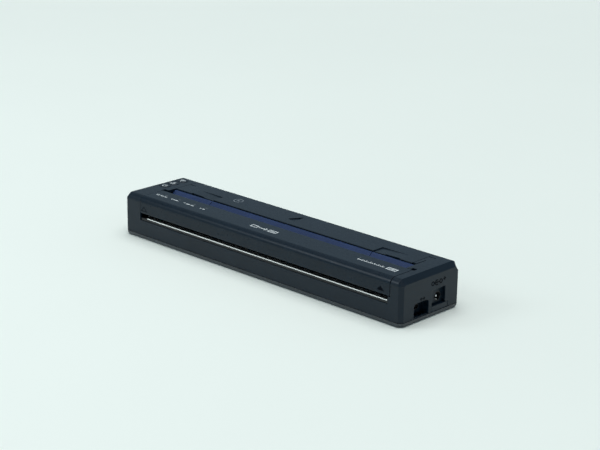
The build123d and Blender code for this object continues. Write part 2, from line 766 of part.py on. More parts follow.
# ---------------------------------------------------------------- frame: side plates and stays
stay_z = guide_foot - 1.4
idler_centre = meshed(platen_centre, platen_teeth, idler_small_teeth, idler_angle)
transfer_centre = meshed(idler_centre, idler_big_teeth, transfer_teeth, transfer_angle)
motor_centre = meshed(transfer_centre, transfer_teeth, pinion_teeth, pinion_angle)
motor_x = (plate_left + side_plate, plate_left + side_plate + motor_length)
motor_boss = 0.6
axle_radius = 1.2
bush_radius = 3.4

with BuildPart() as plate_l:
    plate_l_outline = [
        (front_y + 4.5, floor_z),
        (front_y + 4.5, exit_bottom - 1.6),
        (front_y + 8.5, platen_centre[1] + 4.4),
        (slot_front - 1.9, platen_centre[1] + 4.4),
        (slot_front - 1.9, stay_z),
        (slot_back + 1.8, stay_z),
        (slot_back + 1.8, head_pivot[1] + 2.6),
        (back_y - 4.0, head_pivot[1] + 2.6),
        (back_y - 4.0, floor_z),
    ]
    bar(plate_l_outline, (plate_left, plate_left + side_plate))
    rod(platen_centre, bush_radius, (plate_left, plate_left + side_plate), mode=Mode.SUBTRACT)
    rod(head_pivot, 1.0 + running_clearance, (plate_left, plate_left + side_plate), mode=Mode.SUBTRACT)
    rod(motor_centre, 2.6, (plate_left, plate_left + side_plate), mode=Mode.SUBTRACT)
save(plate_l, "side_plate_left")

with BuildPart() as plate_r:
    plate_r_outline = [
        (front_y + 4.5, floor_z),
        (front_y + 4.5, exit_bottom - 1.6),
        (front_y + 8.5, platen_centre[1] + 4.4),
        (slot_front - 1.9, platen_centre[1] + 4.4),
        (slot_front - 1.9, stay_z),
        (slot_back - 0.4, stay_z),
        (slot_back - 0.4, board_z + 5.6),
        (nip[0] - 6.5, board_z + 5.6),
        (nip[0] - 6.5, floor_z),
    ]
    bar(plate_r_outline, (plate_right, plate_right + side_plate))
    rod(platen_centre, bush_radius, (plate_right, plate_right + side_plate), mode=Mode.SUBTRACT)
    rod(head_pivot, 1.0 + running_clearance, (plate_right, plate_right + side_plate), mode=Mode.SUBTRACT)
save(plate_r, "side_plate_right")

inside = (plate_left + side_plate, plate_right)
with BuildPart() as cross_stays:
    stay_outline = [
        (slot_back - 2.9, stay_z),
        (slot_back + 1.2, stay_z),
        (slot_back + 1.2, guide_foot + 2.2),
        (slot_back + 0.2, guide_foot + 2.2),
        (slot_back + 0.2, guide_foot),
        (slot_back - 2.9, guide_foot),
    ]
    bar(stay_outline, inside)
    spring_outline = [
        (slot_front - stay_front, spring_seat - stay_thickness),
        (slot_front + 1.5, spring_seat - stay_thickness),
        (slot_front + 1.5, spring_seat + 1.6),
        (slot_front + 0.5, spring_seat + 1.6),
        (slot_front + 0.5, spring_seat),
        (slot_front - stay_front, spring_seat),
    ]
    bar(spring_outline, inside)
save(cross_stays, "cross_stays")

# lower exit guide with its front lip, resting on the housing's front wall
lip_front = front_y + 0.6
exit_floor = tear_bar_top - tear_bar_thickness
ramp_y = head_point(bracket_front, 0)[0] - 1.2
guide_x = (cover_left + 0.6, cover_right - exit_end_room - 0.4)
sensor_x = path_x + 32.0
lever_pivot = (front_y + 8.4, exit_floor - 2.6)
with BuildPart() as exit_guide:
    exit_outline = [
        (lip_front, exit_bottom + 0.05),
        (lip_front, exit_floor),
        (front_y + 6.0, exit_floor),
        (ramp_y, exit_floor - 0.9),
        (ramp_y, exit_floor - 2.0),
        (front_y + 6.0, exit_floor - 1.2),
        (front_y + wall + 0.4, exit_floor - 1.2),
        (front_y + wall + 0.4, exit_bottom + 0.05),
    ]
    bar(exit_outline, (inside[0], inside[1]))
    lip_end = [
        (lip_front, exit_bottom + 0.05),
        (lip_front, exit_floor),
        (front_y + 4.2, exit_floor),
        (front_y + 4.2, exit_bottom + 0.05),
    ]
    bar(lip_end, (guide_x[0], inside[0]))
    bar(lip_end, (inside[1], guide_x[1]))
    # slot for the paper lever, and the two ears of its axle
    lever_slot = ((sensor_x - 0.9, sensor_x + 0.9), (front_y + 5.4, ramp_y + 1))
    block(*lever_slot, (exit_floor - 3, exit_floor + 1), mode=Mode.SUBTRACT)
    for x in (sensor_x - 2.2, sensor_x + 1.2):
        ear_y = (lever_pivot[0] - 1.2, lever_pivot[0] + 1.2)
        block((x, x + 1.0), ear_y, (lever_pivot[1] - 1.3, exit_floor - 0.9))
        rod(lever_pivot, 0.6 + running_clearance, (x, x + 1.0), mode=Mode.SUBTRACT)
save(exit_guide, "exit_guide")

with BuildPart() as paper_lever:
    rod(lever_pivot, 0.6, (sensor_x - 2.4, sensor_x + 2.4))
    lever_outline = [
        (lever_pivot[0] - 1.0, lever_pivot[1] - 4.0),
        (lever_pivot[0] + 1.0, lever_pivot[1] - 4.0),
        (lever_pivot[0] + 1.0, lever_pivot[1] + 0.6),
        (lever_pivot[0] - 0.2, tear_bar_top + 0.5),
        (lever_pivot[0] - 1.2, tear_bar_top + 0.5),
        (lever_pivot[0] - 1.0, lever_pivot[1]),
    ]
    bar(lever_outline, (sensor_x - 0.5, sensor_x + 0.5), [0.3, 0.3, 0.3, 0.4, 0.4, 0])
save(paper_lever, "paper_sensor_lever")

# tear bar: a steel strip with a fine saw edge
tear_x = (guide_left + 0.1, cover_right - exit_end_room - 0.9)
tooth_pitch = 1.5
tooth_count = int((tear_x[1] - tear_x[0]) / tooth_pitch)
tear_front = lip_front - 0.1
with BuildPart() as tear_bar:
    with BuildSketch(Plane.XY.offset(exit_floor)):
        with BuildLine():
            start = (tear_x[0] + tear_x[1] - tooth_count * tooth_pitch) / 2
            saw = []
            for k in range(tooth_count):
                saw.append((start + k * tooth_pitch, tear_front + 0.35))
                saw.append((start + (k + 0.5) * tooth_pitch, tear_front))
            saw.append((start + tooth_count * tooth_pitch, tear_front + 0.35))
            rear = tear_front + 4.2
            Polyline(*saw, (tear_x[1], rear), (tear_x[0], rear), close=True)
        make_face()
    extrude(amount=tear_bar_thickness)
save(tear_bar, "tear_bar")

# ---------------------------------------------------------------- platen
gear_layer_1 = (cover_left - cheek - 1.2 - gear_face, cover_left - cheek - 1.2)
gear_layer_2 = (gear_layer_1[0] - 0.6 - gear_face, gear_layer_1[0] - 0.6)

with BuildPart() as platen_roller:
    rod(platen_centre, platen_radius, (roller_left, roller_right))
    rod(platen_centre, platen_shaft_radius, (roller_left, roller_right), mode=Mode.SUBTRACT)
save(platen_roller, "platen_roller")

with BuildPart() as platen_shaft:
    rod(platen_centre, platen_shaft_radius, (gear_layer_1[0] - 0.4, plate_right + side_plate + 1.0))
    ends = platen_shaft.faces().filter_by(Axis.X)
    chamfer(ends.edges(), length=0.3)
save(platen_shaft, "platen_shaft")

with BuildPart() as platen_gear:
    gear(platen_centre, platen_teeth, idler_angle, gear_layer_1, platen_shaft_radius)
    rod(platen_centre, 3.4, (gear_layer_1[1], gear_layer_1[1] + 0.8))
    rod(platen_centre, platen_shaft_radius, (gear_layer_1[1], gear_layer_1[1] + 0.8), mode=Mode.SUBTRACT)
save(platen_gear, "platen_gear")

with BuildPart() as bushes:
    for x, flange in (
        ((plate_left - 0.3, plate_left + side_plate + 1.2), plate_left + side_plate),
        ((plate_right - 1.2, plate_right + side_plate + 0.3), plate_right - 0.8),
    ):
        rod(platen_centre, bush_radius, x)
        rod(platen_centre, bush_radius + 0.8, (flange, flange + 0.8))
        rod(platen_centre, platen_shaft_radius + running_clearance, x, mode=Mode.SUBTRACT)
save(bushes, "platen_bushes")

# ---------------------------------------------------------------- gear train and motor
# where one gear has a tooth on the line of centres, the next has a gap
idler_small_phase = idler_angle + 180 + 180 / idler_small_teeth
transfer_phase = transfer_angle + 180 + 180 / transfer_teeth
# the transfer gear's last tooth before the pinion fixes the pinion's own phase
lag = (pinion_angle - transfer_phase) % (360 / transfer_teeth)
pinion_phase = pinion_angle + 180 + 180 / pinion_teeth + lag * transfer_teeth / pinion_teeth

with BuildPart() as idler_gear:
    gear(idler_centre, idler_small_teeth, idler_small_phase, gear_layer_1, axle_radius + running_clearance)
    gear(idler_centre, idler_big_teeth, transfer_angle, gear_layer_2, axle_radius + running_clearance)
    rod(idler_centre, 2.4, (gear_layer_2[1], gear_layer_1[0]))
    idler_length = (gear_layer_2[1], gear_layer_1[0])
    rod(idler_centre, axle_radius + running_clearance, idler_length, mode=Mode.SUBTRACT)
save(idler_gear, "idler_gear")

with BuildPart() as transfer_gear:
    gear(transfer_centre, transfer_teeth, transfer_phase, gear_layer_2, axle_radius + running_clearance)
save(transfer_gear, "transfer_gear")

with BuildPart() as gear_axles:
    rod(idler_centre, axle_radius, (gear_layer_2[0] - 0.6, plate_left))
    rod(transfer_centre, axle_radius, (gear_layer_2[0] - 0.6, plate_left))
    rod(idler_centre, axle_radius + 0.6, (gear_layer_1[1] + 0.2, plate_left))
    rod(transfer_centre, axle_radius + 0.6, (gear_layer_2[1] + 0.2, plate_left))
save(gear_axles, "gear_axles")

with BuildPart() as motor_rotor:
    gear(motor_centre, pinion_teeth, pinion_phase, gear_layer_2)
    rod(motor_centre, 1.0, (gear_layer_2[1], plate_left + side_plate + 2.0))
save(motor_rotor, "motor_pinion")

with BuildPart() as motor:
    rod(motor_centre, motor_radius, motor_x)
    rod(motor_centre, 1.0 + running_clearance, (motor_x[0], motor_x[0] + 2.2), mode=Mode.SUBTRACT)
    rod(motor_centre, 2.4, (motor_x[1], motor_x[1] + motor_boss))
    saddle_y = (motor_centre[0] - 3, motor_centre[0] + 3)
    block((motor_x[0] + 4, motor_x[1] - 3), saddle_y, (floor_z, motor_centre[1] - 4))
save(motor, "feed_motor")

# ---------------------------------------------------------------- thermal head
head_x = (path_x - guide_width / 2 + 1.0, path_x + guide_width / 2 - 1.0)
with BuildPart() as thermal_head:
    substrate = [
        head_point(bracket_front - 0.4, 0),
        head_point(bracket_front - 0.4 - head_width, 0),
        head_point(bracket_front - 0.4 - head_width, -head_thickness),
        head_point(bracket_front - 0.4, -head_thickness),
    ]
    bar(substrate, head_x)
save(thermal_head, "thermal_head")

with BuildPart() as driver_cover:
    resin = [
        head_point(-4.6, 0),
        head_point(-5.0, 0.5),
        head_point(-bracket_back + 5.6, 0.5),
        head_point(-bracket_back + 5.2, 0.1),
        head_point(-bracket_back + 5.2, -head_thickness),
        head_point(bracket_front - 0.4 - head_width, -head_thickness),
        head_point(bracket_front - 0.4 - head_width, 0),
    ]
    bar(resin, (head_x[0] + 6, head_x[1] - 6))
save(driver_cover, "head_driver_cover")

with BuildPart() as head_bracket:
    bracket = [
        head_point(bracket_front, -head_thickness),
        head_point(-bracket_back, -head_thickness),
        head_point(-bracket_back, -head_thickness - bracket_thickness),
        head_point(bracket_front, -head_thickness - bracket_thickness),
    ]
    bar(bracket, head_x)
    for x in ((head_x[0], head_x[0] + 4), (head_x[1] - 4, head_x[1])):
        rod(head_pivot, 1.0, x, mode=Mode.SUBTRACT)
save(head_bracket, "head_bracket")

with BuildPart() as head_pins:
    rod(head_pivot, 1.0, (plate_left - 0.3, head_x[0] + 4))
    rod(head_pivot, 1.0, (head_x[1] - 4, plate_right + side_plate + 0.3))
save(head_pins, "head_pivot_pins")

spring_y = slot_front - 3.0
underside = head_point(bracket_front, -head_thickness - bracket_thickness)
spring_top = underside[1] + (spring_y - 2.3 - underside[0]) * math.tan(tilt) - 0.3
spring_turns = 4
spring_pitch = guide_width / 4 + 1.5
spring_radius = 1.95
spring_wire = 0.3  # radius of the wire
spring_height = spring_top - spring_seat - 2 * spring_wire
with BuildPart() as head_springs:
    for k in range(4):
        x = path_x + (k - 1.5) * spring_pitch
        with BuildLine(Plane((x, spring_y, spring_seat + spring_wire))) as coil:
            Helix(pitch=spring_height / spring_turns, height=spring_height, radius=spring_radius)
        with BuildSketch(Plane(coil.line @ 0, z_dir=coil.line % 0)) as wire:
            Circle(spring_wire)
        sweep(wire.sketch, path=coil.line, is_frenet=True)
save(head_springs, "head_springs")

# ---------------------------------------------------------------- keys
key_names = ["power_key", "feed_key", "wireless_key"]
for k, name in enumerate(key_names):
    place = (key_x, key_first_y + k * key_pitch)
    with BuildPart() as key:
        pill(place, key_length, key_width, key_width / 2 - 0.5, (ceiling_z - 0.2, top_z + key_proud))
        fillet(key.edges().group_by(Axis.Z)[-1], radius=0.6)
        pill(place, key_length + 1.2, key_width + 1.2, key_width / 2, (ceiling_z - 0.9, ceiling_z - 0.1))
        post(place, 1.3, (key_board_top + 1.5 + key_travel + 0.05, ceiling_z - 0.5))
    save(key, name)

key_board_x = (left_x + wall + 0.3, cover_left - cheek - 0.4)
key_board_y = (slot_front + 0.4, back_y - wall - 0.2)
with BuildPart() as key_board:
    block(key_board_x, key_board_y, (key_board_top - 1.0, key_board_top))
save(key_board, "key_board")

with BuildPart() as key_switches:
    for k in range(key_count):
        place = (key_x, key_first_y + k * key_pitch)
        sides = [(middle - 2.2, middle + 2.2) for middle in place]
        block(*sides, (key_board_top, key_board_top + 1.2))
        post(place, 0.9, (key_board_top + 1.2, key_board_top + 1.5))
save(key_switches, "key_switches")

# ---------------------------------------------------------------- battery
bay_x = (motor_x[1] + motor_boss + 0.5, door_right - 1.0)
bay_y = (slot_back + bay_front_gap, slot_back + bay_front_gap + bay_depth)
pack_x = (bay_x[0] + bay_wall + bay_end_gap, bay_x[1] - bay_wall - bay_end_gap)
pack_centre = ((bay_y[0] + bay_y[1]) / 2, floor_z + 0.9 + sleeve_radius)
bay_top = pack_centre[1] + sleeve_radius + sleeve_gap + bay_wall
cell_length = (pack_x[1] - pack_x[0] - 2 * cell_end_room) / cell_count
plug_x = path_x + guide_width / 4
lead_z = board_top + 1.9
with BuildPart() as battery_bay:
    block(bay_x, bay_y, (floor_z + 0.05, bay_top))
    block(
        (bay_x[0] + bay_wall, bay_x[1] - bay_wall),
        (bay_y[0] + bay_wall, bay_y[1] - bay_wall),
        (floor_z - 1, bay_top - bay_wall),
        mode=Mode.SUBTRACT,
    )
    lead_way = ((plug_x - 3, plug_x + 3), (bay_y[0] - 1, bay_y[0] + 2))
    block(*lead_way, (floor_z - 1, lead_z + 1.2), mode=Mode.SUBTRACT)
save(battery_bay, "battery_bay")

with BuildPart() as battery_cells:
    for k in range(cell_count):
        x = pack_x[0] + cell_end_room + k * cell_length
        rod(pack_centre, cell_radius, (x + 0.05, x + cell_length - 0.05))
save(battery_cells, "battery_cells")

with BuildPart() as battery_sleeve:
    rod(pack_centre, sleeve_radius, pack_x)
    cavity = (pack_x[0] + cell_end_room, pack_x[1] - cell_end_room)
    rod(pack_centre, cell_radius + 0.02, cavity, mode=Mode.SUBTRACT)
save(battery_sleeve, "battery_sleeve")

with BuildPart() as battery_cover:
    block((door_left + door_thickness / 2, door_right), door_sides, (foot_height + 0.1, floor_z - 0.1))
    with BuildSketch(Plane.XZ.offset(-door_sides[1])) as barrel:
        with Locations(door_pivot):
            Circle(door_thickness / 2)
    extrude(barrel.sketch, amount=door_sides[1] - door_sides[0])
    with BuildSketch(Plane.XZ.offset(-door_sides[1] - 1.0)) as stub:
        with Locations(door_pivot):
            Circle(0.5)
    extrude(stub.sketch, amount=door_sides[1] - door_sides[0] + 2.0)
    tab_y = (door_sides[0] + 2.5, door_sides[0] + 11.5)
    block((door_right - 1.0, door_right), tab_y, (floor_z - 0.2, board_z - 0.2))
    # finger grooves by the latch
    for k in range(4):
        x = door_right - 6.0 - 1.6 * k
        grip_y = (pack_centre[0] - 5, pack_centre[0] + 5)
        block((x, x + 0.7), grip_y, (0, foot_height + 0.4), mode=Mode.SUBTRACT)
save(battery_cover, "battery_cover")

with BuildPart() as battery_latch:
    block((right_x - 2.8, right_x - 0.1), latch_sides, (housing_z + 0.05, housing_z + latch_height))
    arm_y = (door_sides[0] + 3.5, door_sides[0] + 10.5)
    block((door_right + 1.4, right_x - wall - 0.7), arm_y, (floor_z + 0.15, board_z - 0.2))
save(battery_latch, "battery_latch")

# ---------------------------------------------------------------- electronics
board_y = (front_y + 6.5, slot_front + 6.5)
board_x = (plate_left + side_plate + 3.0, plate_right - 1.0)
with BuildPart() as main_board:
    block(board_x, board_y, (board_z, board_top))
    block((board_x[1] - 1, usb_floor - 1.4), (front_y + 11.0, usb_sides[1] + 2.0), (board_z, board_top))
    block((board_x[1] + 0.4, dc_floor - 2.2), (usb_sides[1] + 1.4, dc_y + 5.6), (board_z, board_top))
    for place in board_screw_places:
        post(place, board_screw_radius + 0.1, (board_z, board_top), mode=Mode.SUBTRACT)
save(main_board, "main_board")

with BuildPart() as board_screws:
    for place in board_screw_places:
        post(place, board_screw_radius, (floor_z + 0.6, board_top))
        post(place, 1.6, (board_top, board_top + 0.8))
save(board_screws, "board_screws")

# packages on the board as (place along it as a share of its length, length, height)
board_length = board_x[1] - board_x[0]
chip_room = 1.7  # packages to the spring stay
chips = [(0.15, 12, 1.4), (0.28, 10, 1.2), (0.46, 8, 1.0), (0.55, 6, 1.0), (0.72, 9, 1.4), (0.8, 6, 1.1)]
chip_y = (board_y[0] + 0.8, slot_front - stay_front - chip_room)
with BuildPart() as board_chips:
    for share, length, height in chips:
        x = board_x[0] + share * board_length
        block((x, x + length), chip_y, (board_top, board_top + height))
    block((board_x[1] - 26.0, board_x[1] - 12.0), chip_y, (board_top, board_top + 1.5))
save(board_chips, "board_chips")

can_radius = 1.8
capacitor_y = (chip_y[1] - 0.4, chip_y[1] + 0.8)
can_pitch = board_length / 48
with BuildPart() as board_capacitors:
    for k in range(5):
        can_x = board_x[0] + board_length / 20 + can_pitch * k
        post((can_x, board_y[0] + 3.0), can_radius, (board_top, board_top + 1.6))
    for offset in (-9.0, -5.8, 3.8, 7.0, 10.2):
        x = sensor_x + offset
        block((x, x + 2.0), capacitor_y, (board_top, board_top + 0.9))
save(board_capacitors, "board_capacitors")

ribbon_x = (path_x - 12, path_x + 14)
with BuildPart() as board_connectors:
    socket_y = (board_y[1] - 4.4, board_y[1] - 0.6)
    block((ribbon_x[0] - 2, ribbon_x[1] + 2), socket_y, (board_top, board_top + 1.4))
    block((plug_x - 4, plug_x + 4), (board_y[1] - 4.0, board_y[1] - 0.2), (board_top, board_top + 3.4))
save(board_connectors, "board_connectors")

with BuildPart() as head_connector:
    socket = [
        head_point(0.3 - bracket_back, -head_thickness),
        head_point(0.3 - bracket_back, 0.7),
        head_point(3.0 - bracket_back, 0.7),
        head_point(3.0 - bracket_back, -head_thickness),
    ]
    bar(socket, (ribbon_x[0] - 1, ribbon_x[1] + 1))
save(head_connector, "head_connector")

# printed ribbon from the board up behind the head and over to its connector
ribbon_thickness = 0.25
ribbon_y = board_y[1] + 2.4
ribbon_levels = (board_top + 0.6, head_point(0.3 - bracket_back, 0)[1])
ribbon_end = head_point(0.3 - bracket_back, 0)[0] + 0.3
with BuildPart() as head_ribbon:
    ribbon = [
        (board_y[1] - 0.6, ribbon_levels[0]),
        (ribbon_y, ribbon_levels[0]),
        (ribbon_y, ribbon_levels[1]),
        (ribbon_end, ribbon_levels[1]),
        (ribbon_end, ribbon_levels[1] - ribbon_thickness),
        (ribbon_y - ribbon_thickness, ribbon_levels[1] - ribbon_thickness),
        (ribbon_y - ribbon_thickness, ribbon_levels[0] + ribbon_thickness),
        (board_y[1] - 0.6, ribbon_levels[0] + ribbon_thickness),
    ]
    bar(ribbon, ribbon_x)
save(head_ribbon, "head_ribbon")

with BuildPart() as battery_leads:
    for x in (plug_x - 1.5, plug_x + 1.5):
        with BuildSketch(Plane.XZ.offset(-board_y[1] + 0.2)) as lead:
            with Locations((x, lead_z)):
                Circle(0.6)
        extrude(lead.sketch, amount=-(bay_y[0] - board_y[1] + 1.2))
save(battery_leads, "battery_leads")

sensor_z = board_top + 3.6
with BuildPart() as paper_sensor:
    sensor_y = (lever_pivot[0] - 1.6, lever_pivot[0] + 3.0)
    block((sensor_x - 2.6, sensor_x + 2.6), sensor_y, (board_top, sensor_z))
    block(
        (sensor_x - 0.9, sensor_x + 0.9),
        (lever_pivot[0] - 2.0, lever_pivot[0] + 4.0),
        (board_top + 1.0, sensor_z + 1),
        mode=Mode.SUBTRACT,
    )
save(paper_sensor, "paper_sensor")

usb_back = plate_right + 0.6
with BuildPart() as usb_port:
    slot_shape((usb_y, usb_z), usb_shell, 0, (usb_back, usb_floor))
    slot_shape((usb_y, usb_z), usb_mouth, 0, (usb_back + 0.5, usb_floor + 1), mode=Mode.SUBTRACT)
save(usb_port, "usb_port")

with BuildPart() as usb_tongue:
    block((usb_back + 0.5, usb_floor - 0.6), (usb_y - 3.3, usb_y + 3.3), (usb_z - 0.35, usb_z + 0.35))
save(usb_tongue, "usb_tongue")

dc_body = (plate_right - 1.4, dc_floor - 1.4)
with BuildPart() as dc_jack:
    block(dc_body, (dc_y - 4.5, dc_y + 4.5), (board_top, dc_height + 4.5))
    rod((dc_y, dc_height), dc_bore_radius, (dc_body[1], dc_floor))
    rod((dc_y, dc_height), dc_bore_radius - 0.5, (dc_body[1] - 8.5, dc_floor), mode=Mode.SUBTRACT)
save(dc_jack, "power_jack")

with BuildPart() as dc_pin:
    rod((dc_y, dc_height), dc_pin_radius, (dc_body[1] - 8.5, dc_floor - 0.6))
    fillet(dc_pin.faces().sort_by(Axis.X)[-1].edges(), radius=0.6)
save(dc_pin, "power_jack_pin")
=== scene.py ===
import math

import bmesh
import bpy
from mathutils import Matrix, Vector


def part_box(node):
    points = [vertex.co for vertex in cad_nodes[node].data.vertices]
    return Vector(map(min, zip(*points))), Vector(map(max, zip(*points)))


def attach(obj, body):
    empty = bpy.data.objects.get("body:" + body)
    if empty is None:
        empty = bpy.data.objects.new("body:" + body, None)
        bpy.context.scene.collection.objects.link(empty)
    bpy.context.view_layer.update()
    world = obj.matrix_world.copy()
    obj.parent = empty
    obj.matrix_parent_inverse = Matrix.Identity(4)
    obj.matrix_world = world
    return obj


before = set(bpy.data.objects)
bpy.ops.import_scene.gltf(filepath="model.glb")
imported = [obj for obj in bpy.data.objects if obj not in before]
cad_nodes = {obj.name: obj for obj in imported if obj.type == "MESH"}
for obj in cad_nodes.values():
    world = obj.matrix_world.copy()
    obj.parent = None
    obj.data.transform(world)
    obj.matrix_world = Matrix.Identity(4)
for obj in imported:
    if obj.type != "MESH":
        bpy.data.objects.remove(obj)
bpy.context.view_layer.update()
MM = 0.001  # the scene is in metres, and lengths here are in millimetres unless a comment says so
X, Y, Z = (1, 0, 0), (0, 1, 0), (0, 0, 1)
DOWN_Y = (0, -1, 0)


# ---------------------------------------------------------------- materials
def srgb(r, g, b):
    """Linear colour of an sRGB triple from 0 to 255."""
    shares = (r / 255, g / 255, b / 255)
    return tuple(c / 12.92 if c <= 0.04045 else ((c + 0.055) / 1.055) ** 2.4 for c in shares)


def scaled(colour, k):
    """The colour made lighter or darker by a factor, as RGBA."""
    return tuple(min(1.0, c * k) for c in colour[:3]) + (1.0,)


def fill_ramp(node, stops):
    """Sets a colour ramp's stops, each a place and an RGBA colour."""
    elements = node.color_ramp.elements
    while len(elements) < len(stops):
        elements.new(0.5)
    for element, (at, colour) in zip(elements, stops):
        element.position = at
        element.color = colour


class Finish:
    """A node-based material, built up step by step."""

    def __init__(self, name, rough, metal=0.0, specular=0.5, coat=0.0, sheen=0.0):
        self.material = bpy.data.materials.new(name)
        self.material.use_nodes = True
        self.tree = self.material.node_tree
        self.shader = self.tree.nodes["Principled BSDF"]
        self.shader.inputs["Roughness"].default_value = rough
        self.shader.inputs["Metallic"].default_value = metal
        self.shader.inputs["IOR"].default_value = 1.5
        self.shader.inputs["Specular IOR Level"].default_value = specular
        self.shader.inputs["Coat Weight"].default_value = coat
        self.shader.inputs["Coat Roughness"].default_value = 0.12
        self.shader.inputs["Sheen Weight"].default_value = sheen
        self.place = self.tree.nodes.new("ShaderNodeTexCoord").outputs["Object"]
        self.normal = None

    def link(self, a, b):
        self.tree.links.new(a, b)

    def stretched(self, x, y, z):
        """The surface's place, scaled along each axis."""
        mapping = self.tree.nodes.new("ShaderNodeMapping")
        mapping.inputs["Scale"].default_value = (x, y, z)
        self.link(self.place, mapping.inputs["Vector"])
        return mapping.outputs["Vector"]

    def noise(self, size, detail=2.0, roughness=0.5, vector=None):
        node = self.tree.nodes.new("ShaderNodeTexNoise")
        node.inputs["Scale"].default_value = 1.0 / (size * MM)
        node.inputs["Detail"].default_value = detail
        node.inputs["Roughness"].default_value = roughness
        self.link(vector or self.place, node.inputs["Vector"])
        return node.outputs["Fac"]

    def cells(self, size):
        node = self.tree.nodes.new("ShaderNodeTexVoronoi")
        node.inputs["Scale"].default_value = 1.0 / (size * MM)
        self.link(self.place, node.inputs["Vector"])
        return node.outputs["Distance"]

    def ramp(self, fac, stops):
        node = self.tree.nodes.new("ShaderNodeValToRGB")
        fill_ramp(node, stops)
        self.link(fac, node.inputs["Fac"])
        return node.outputs["Color"]

    def span(self, fac, low, high):
        """A noise's middle range, stretched to run from low to high."""
        node = self.tree.nodes.new("ShaderNodeMapRange")
        node.inputs["From Min"].default_value = 0.3
        node.inputs["From Max"].default_value = 0.7
        node.inputs["To Min"].default_value = low
        node.inputs["To Max"].default_value = high
        self.link(fac, node.inputs["Value"])
        return node.outputs["Result"]

    def mix(self, fac, a, b):
        node = self.tree.nodes.new("ShaderNodeMix")
        node.data_type = "RGBA"
        self.link(fac, node.inputs["Factor"])
        for socket, value in ((node.inputs[6], a), (node.inputs[7], b)):
            if isinstance(value, tuple):
                socket.default_value = value
            else:
                self.link(value, socket)
        return node.outputs[2]

    def colour(self, output):
        self.link(output, self.shader.inputs["Base Color"])

    def mottled(self, colour, vary, size=18.0):
        """Colour that drifts a little over the surface, as on moulded or printed parts."""
        stops = [(0.35, scaled(colour, 1 - vary)), (0.65, scaled(colour, 1 + vary))]
        self.colour(self.ramp(self.noise(size, 3.0, 0.6), stops))

    def rough(self, fac, low, high):
        self.link(self.span(fac, low, high), self.shader.inputs["Roughness"])

    def edges(self, radius):
        """Softens the look of sharp edges."""
        node = self.tree.nodes.new("ShaderNodeBevel")
        node.samples = 6
        node.inputs["Radius"].default_value = radius * MM
        self.normal = node.outputs["Normal"]

    def bump(self, height, depth, strength):
        node = self.tree.nodes.new("ShaderNodeBump")
        node.inputs["Distance"].default_value = depth * MM
        node.inputs["Strength"].default_value = strength
        self.link(height, node.inputs["Height"])
        if self.normal:
            self.link(self.normal, node.inputs["Normal"])
        self.normal = node.outputs["Normal"]

    def done(self):
        if self.normal:
            self.link(self.normal, self.shader.inputs["Normal"])
        return self.material


def moulded(name, colour, rough, grain=0.45, depth=0.02, vary=0.08, edge=0.25, specular=0.5):
    """Moulded plastic: fine spark-eroded grain, a slight drift in colour and gloss, soft edges."""
    f = Finish(name, rough, specular=specular)
    f.mottled(colour, vary)
    fine = f.noise(grain, 4.0, 0.65)
    f.rough(f.noise(grain * 5, 3.0, 0.6), rough - 0.05, rough + 0.05)
    f.edges(edge)
    f.bump(fine, depth, 0.6)
    return f.done()


def metal(name, colour, rough, lines=(0.02, 1.0, 1.0), line_size=0.12, vary=0.08, edge=0.1):
    """Sheet or turned metal with drawn lines along one axis and faint stains."""
    f = Finish(name, rough, metal=1.0)
    f.mottled(colour, vary, 9.0)
    drawn = f.noise(line_size, 2.0, 0.5, f.stretched(*lines))
    f.rough(drawn, rough - 0.08, rough + 0.1)
    f.edges(edge)
    f.bump(drawn, 0.004, 0.5)
    return f.done()


# linear colours of the mouldings
charcoal = (0.0044, 0.0122, 0.0218)
# the base's charcoal, a tenth lighter: painted light for the floor's reflection on the base
charcoal_with_painted_light = scaled(charcoal, 1.1)
key_charcoal = scaled(charcoal, 0.9)
navy = (0.02, 0.04, 0.11)
latch_black = (0.006, 0.007, 0.009)
bay_black = (0.008, 0.009, 0.01)
bush_grey = (0.03, 0.03, 0.032)
acetal = (0.62, 0.6, 0.54)
nylon = (0.55, 0.52, 0.44)
epoxy = (0.012, 0.012, 0.013)
resin = (0.01, 0.01, 0.01)
red = (0.32, 0.015, 0.012)

# one material for each of the frame's slots
made = {
    "body_plastic": moulded("charcoal_body", charcoal, 0.33, specular=0.24),
    "cover_plastic": moulded("charcoal_cover", charcoal, 0.31, specular=0.21),
    "base_plastic": moulded(
        "charcoal_base", charcoal_with_painted_light, 0.36, grain=0.6, depth=0.03, specular=0.3),
    "guide_plastic": moulded("navy_guide", navy, 0.36, grain=0.3, depth=0.008, specular=0.3),
    "latch_plastic": moulded("black_latch", latch_black, 0.5),
    "key_plastic": moulded(
        "key_caps", key_charcoal, 0.36, grain=0.35, depth=0.012, edge=0.4, specular=0.3),
    "bay_plastic": moulded("black_bay", bay_black, 0.55, grain=0.7, depth=0.03),
    "gear_plastic": moulded(
        "acetal_gear", acetal, 0.38, grain=0.8, depth=0.006, vary=0.05, edge=0.08),
    "bush_plastic": moulded("dark_bush", bush_grey, 0.42, edge=0.08),
    "component_pale": moulded("connector_nylon", nylon, 0.45, depth=0.01, vary=0.05, edge=0.08),
    "component_black": moulded("chip_epoxy", epoxy, 0.55, grain=0.15, depth=0.01, edge=0.06),
    "head_resin": moulded("driver_resin", resin, 0.28, grain=1.5, depth=0.02, edge=0.2),
    "lead_sleeve": moulded("lead_sleeve", red, 0.4, grain=0.8, depth=0.006, edge=0.05),
    "steel": metal("drawn_steel", (0.55, 0.56, 0.57), 0.34),
    "head_aluminium": metal("head_aluminium", (0.62, 0.63, 0.64), 0.42, line_size=0.2),
    "pinion_brass": metal("pinion_brass", (0.72, 0.5, 0.2), 0.3, lines=(1.0, 0.3, 0.3)),
    "cell_metal": metal("cell_steel", (0.5, 0.51, 0.52), 0.36),
    "capacitor_metal": metal("capacitor_can", (0.6, 0.61, 0.62), 0.38, lines=(1.0, 1.0, 0.1)),
}

